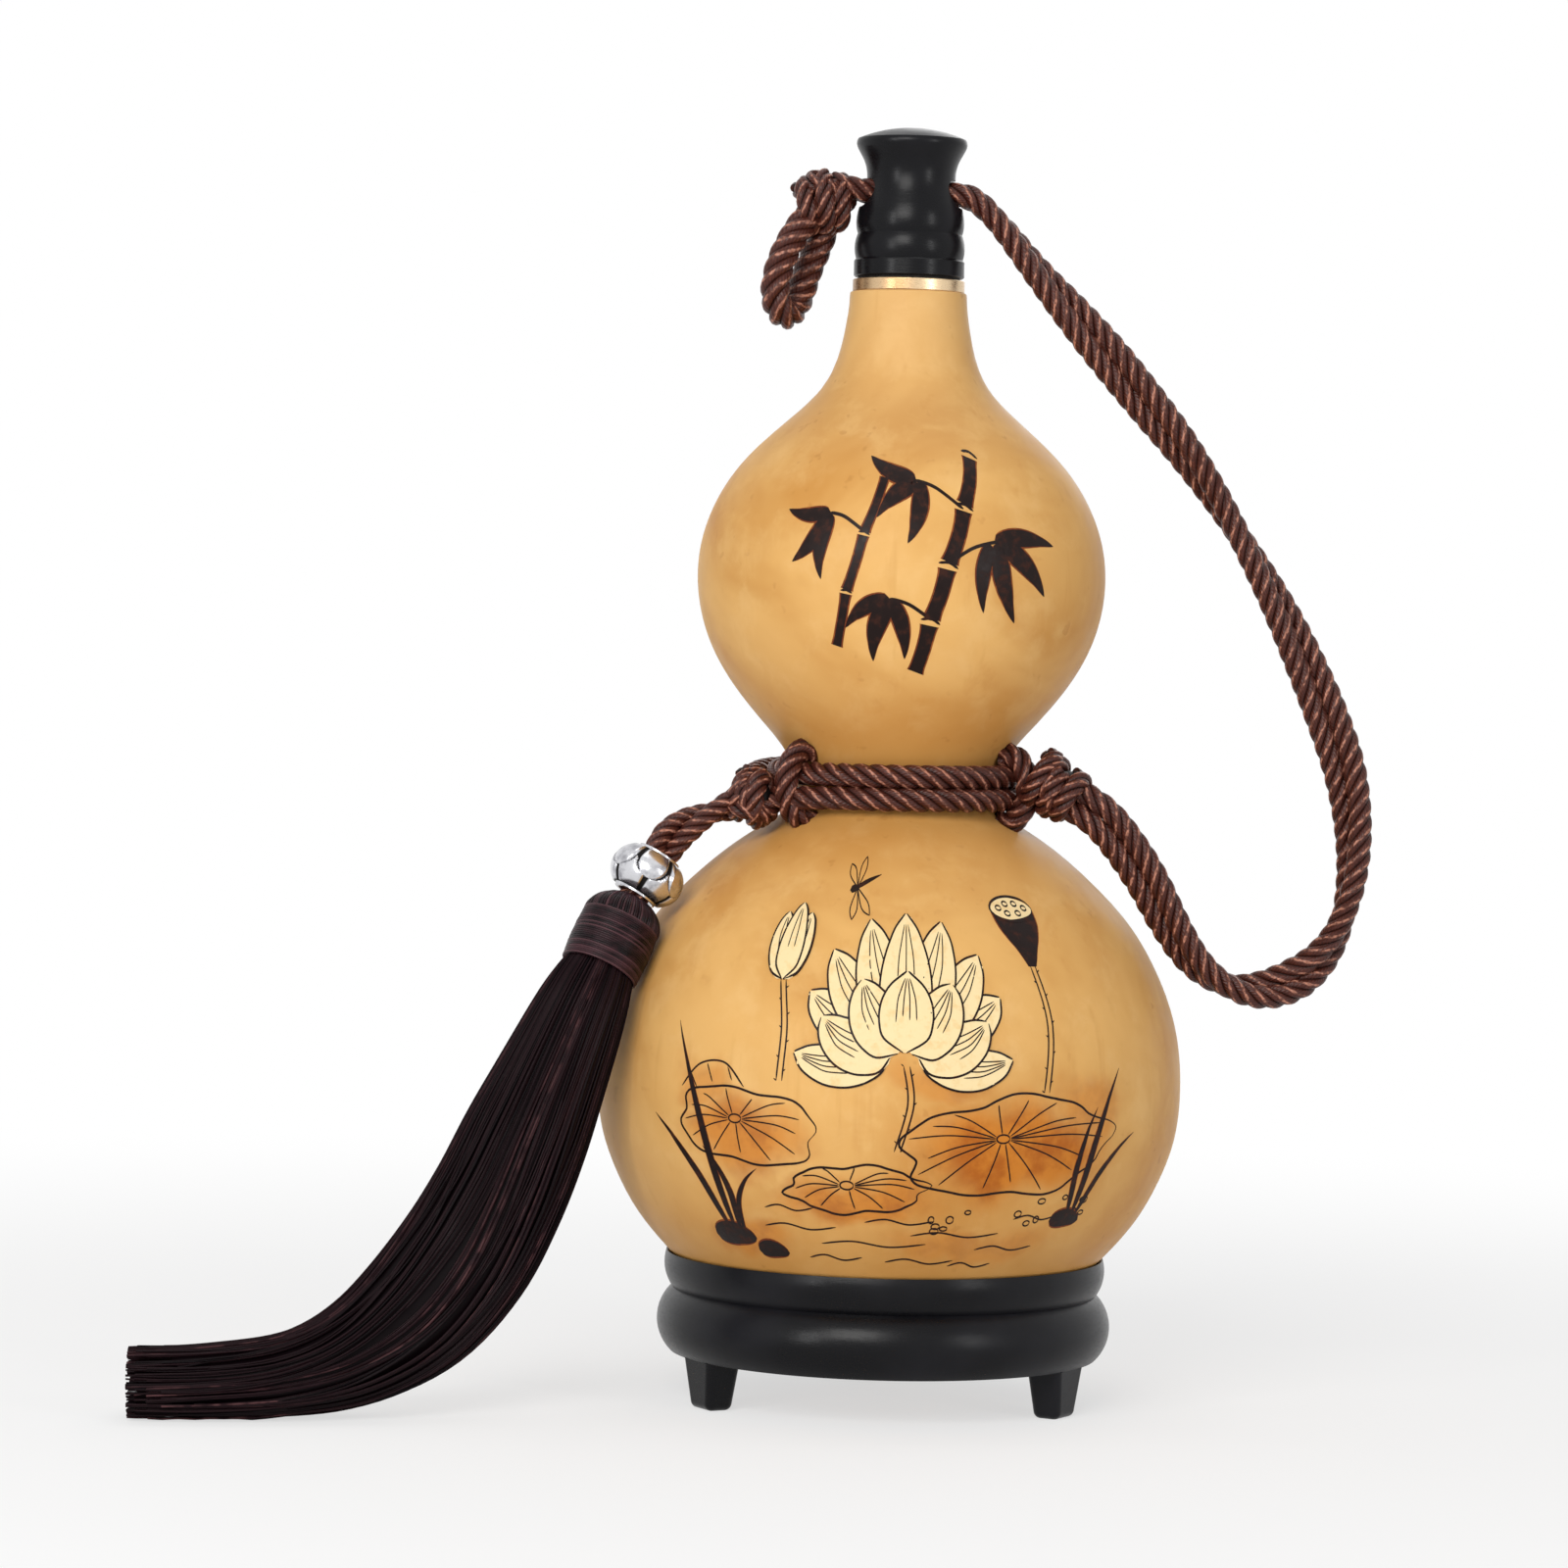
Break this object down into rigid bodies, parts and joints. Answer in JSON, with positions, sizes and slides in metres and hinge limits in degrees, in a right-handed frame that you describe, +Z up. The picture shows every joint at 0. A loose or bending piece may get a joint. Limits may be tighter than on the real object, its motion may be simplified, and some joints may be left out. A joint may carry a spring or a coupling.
{
  "type": "gourd water bottle",
  "caption": "Double-bulb gourd bottle with a corked black stopper, a twisted cord strap, a beaded tassel and a three-footed ring stand.",
  "frame": {"origin": "centre of the stand on the table plane under its feet", "axes": "+Z up along the gourd's axis, +X towards the strap's bend, -Y towards the drawn face and the viewer"},
  "size_m": [0.2653, 0.1301, 0.2803],
  "materials": {
    "black_lacquer": "satin black lacquer",
    "gourd_skin": "polished dried gourd with scorched drawing",
    "bush_wood": "turned wood, waxed",
    "ferrule_metal": "pale gold, brushed",
    "cork": "cut cork",
    "gasket": "translucent matte",
    "brown_cord": "satin twisted cord",
    "tassel_thread": "silky rayon thread",
    "silver": "antiqued silver relief"
  },
  "bodies": {
    "stand": {"stand_seat_ring": "black_lacquer", "stand_base_ring": "black_lacquer", "stand_foot_rear": "black_lacquer", "stand_foot_left": "black_lacquer", "stand_foot_right": "black_lacquer"},
    "gourd": {"gourd_shell": "gourd_skin", "mouth_bush": "bush_wood", "neck_ferrule": "ferrule_metal", "waist_winding": "brown_cord", "waist_knot_left": "brown_cord", "waist_knot_right": "brown_cord", "strap_cord_front": "brown_cord", "strap_cord_rear": "brown_cord"},
    "stopper": {"stopper_cap": "black_lacquer", "stopper_cork": "cork", "stopper_gasket": "gasket", "slot_cord_front": "brown_cord", "slot_cord_rear": "brown_cord", "cap_knot": "brown_cord"},
    "loop": {"finger_loop": "brown_cord"},
    "tassel": {"tail_cord": "brown_cord", "tassel_hanger": "brown_cord", "tassel_crown": "tassel_thread", "tassel_binding": "tassel_thread", "tassel_skirt": "tassel_thread"},
    "bead": {"silver_bead": "silver"}
  },
  "joints": [
    {"name": "gourd_lift", "type": "slide", "parent": "stand", "child": "gourd", "axis": [0, 0, 1], "range_m": [0, 0.06]},
    {"name": "stopper_pull", "type": "slide", "parent": "gourd", "child": "stopper", "axis": [0, 0, 1], "range_m": [0, 0.035], "deforming": ["strap_cord_front", "strap_cord_rear"]},
    {"name": "loop_swing", "type": "hinge", "parent": "stopper", "child": "loop", "pos_m": [-0.0193, 0, 0.2635], "axis": [0, 1, 0], "range_deg": [0, 60]},
    {"name": "tassel_swing", "type": "hinge", "parent": "gourd", "child": "tassel", "pos_m": [-0.0312, -0.0155, 0.133], "axis": [0, 1, 0], "range_deg": [0, 35]},
    {"name": "bead_spin", "type": "hinge", "parent": "tassel", "child": "bead", "pos_m": [-0.0539, -0.0208, 0.1156], "axis": [-0.5022, -0.2176, -0.8369], "continuous": true}
  ]
}
